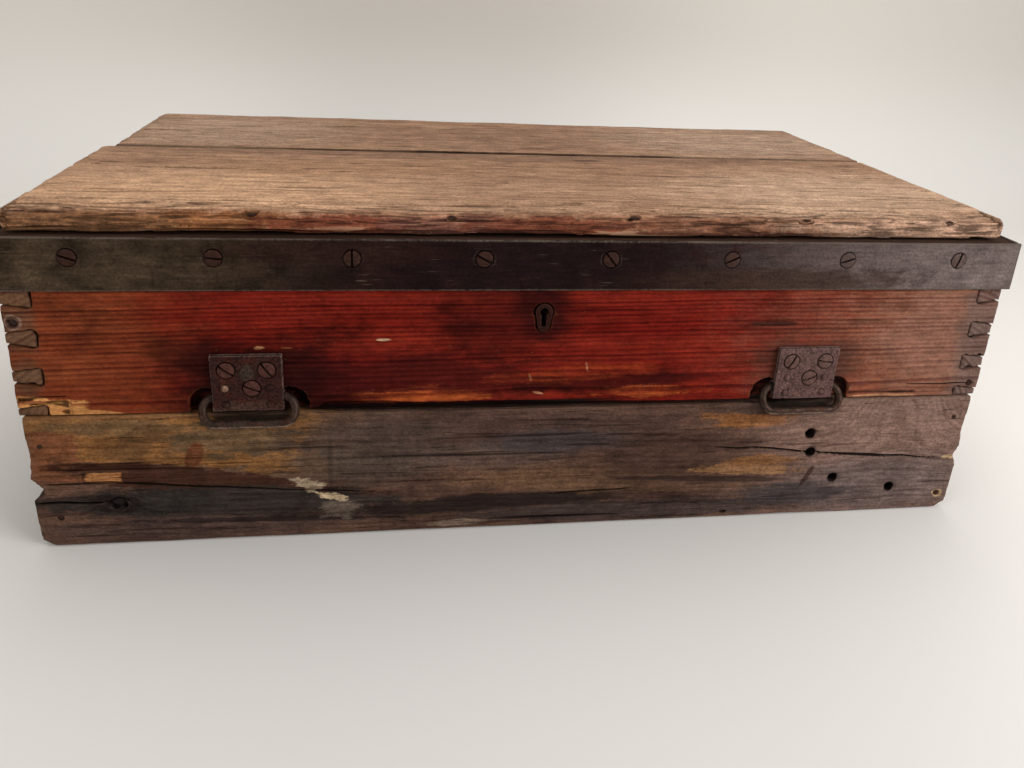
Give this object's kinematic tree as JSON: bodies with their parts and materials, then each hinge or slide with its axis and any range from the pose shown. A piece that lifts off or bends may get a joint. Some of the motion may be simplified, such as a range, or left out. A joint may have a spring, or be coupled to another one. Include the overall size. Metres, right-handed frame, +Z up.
{
  "type": "tool chest",
  "caption": "Long low wooden tool chest with dovetailed upper boards, a hinged lid edged with a screwed steel band, a box lock and drop ring handles on the front.",
  "frame": {"origin": "middle of the underside, on the surface the chest stands on", "axes": "+X along the chest's length to its right seen from the front, -Y towards the front with the keyhole, +Z up"},
  "size_m": [0.7466, 0.4098, 0.2616],
  "materials": {
    "weathered_pine": "bare pine, grey-brown and stained with age",
    "varnished_pine": "old red-brown varnish over pine with dark growth lines",
    "lid_pine": "worn bare pine boards",
    "inner_pine": "unfinished aged pine",
    "band_steel": "dark oxidised flat steel",
    "rusty_iron": "dark brown rusted iron",
    "screw_steel": "rusted slotted steel screws"
  },
  "bodies": {
    "case": {"front_lower_board": "weathered_pine", "back_lower_board": "weathered_pine", "left_lower_board": "weathered_pine", "right_lower_board": "weathered_pine", "front_upper_board": "varnished_pine", "back_upper_board": "varnished_pine", "left_upper_board": "varnished_pine", "right_upper_board": "varnished_pine", "front_tongue": "inner_pine", "back_tongue": "inner_pine", "left_tongue": "inner_pine", "right_tongue": "inner_pine", "bottom_board_1": "inner_pine", "bottom_board_2": "inner_pine", "bottom_board_3": "inner_pine", "bottom_board_4": "inner_pine", "bottom_board_5": "inner_pine", "hinge_case_leaf_left": "rusty_iron", "hinge_case_leaf_right": "rusty_iron", "hinge_pin_left": "rusty_iron", "hinge_pin_right": "rusty_iron", "keyhole_escutcheon": "rusty_iron", "lock_plate": "rusty_iron", "lock_cap": "rusty_iron", "lock_key_pin": "rusty_iron", "ring_plate_left": "rusty_iron", "ring_plate_right": "rusty_iron", "ring_backing_left": "rusty_iron", "ring_backing_right": "rusty_iron", "ring_screw_left_1": "screw_steel", "ring_screw_left_2": "screw_steel", "ring_screw_left_3": "screw_steel", "ring_screw_right_1": "screw_steel", "ring_screw_right_2": "screw_steel", "ring_screw_right_3": "screw_steel"},
    "lid": {"lid_front_board": "lid_pine", "lid_rear_board": "lid_pine", "lid_front_rail": "inner_pine", "lid_back_rail": "inner_pine", "lid_left_rail": "inner_pine", "lid_right_rail": "inner_pine", "band_front": "band_steel", "band_left": "band_steel", "band_right": "band_steel", "band_screw_1": "screw_steel", "band_screw_2": "screw_steel", "band_screw_3": "screw_steel", "band_screw_4": "screw_steel", "band_screw_5": "screw_steel", "band_screw_6": "screw_steel", "band_screw_7": "screw_steel", "band_screw_8": "screw_steel", "hinge_lid_leaf_left": "rusty_iron", "hinge_lid_leaf_right": "rusty_iron", "lock_keeper": "rusty_iron"},
    "lock_bolt": {"lock_bolt": "rusty_iron", "lock_bolt_spring": "rusty_iron"},
    "ring_left": {"ring_left": "rusty_iron"},
    "ring_right": {"ring_right": "rusty_iron"}
  },
  "joints": [
    {"name": "lid_hinge", "type": "hinge", "parent": "case", "child": "lid", "pos_m": [0, 0.194, 0.20515], "axis": [-1, 0, 0], "range_deg": [0, 100]},
    {"name": "lock_bolt_slide", "type": "slide", "parent": "case", "child": "lock_bolt", "axis": [1, 0, 0], "range_m": [0, 0.007]},
    {"name": "ring_left_swing", "type": "hinge", "parent": "case", "child": "ring_left", "pos_m": [-0.213, -0.1986, 0.1225], "axis": [-1, 0, 0], "range_deg": [0, 110]},
    {"name": "ring_right_swing", "type": "hinge", "parent": "case", "child": "ring_right", "pos_m": [0.213, -0.1986, 0.1225], "axis": [-1, 0, 0], "range_deg": [0, 110]}
  ]
}
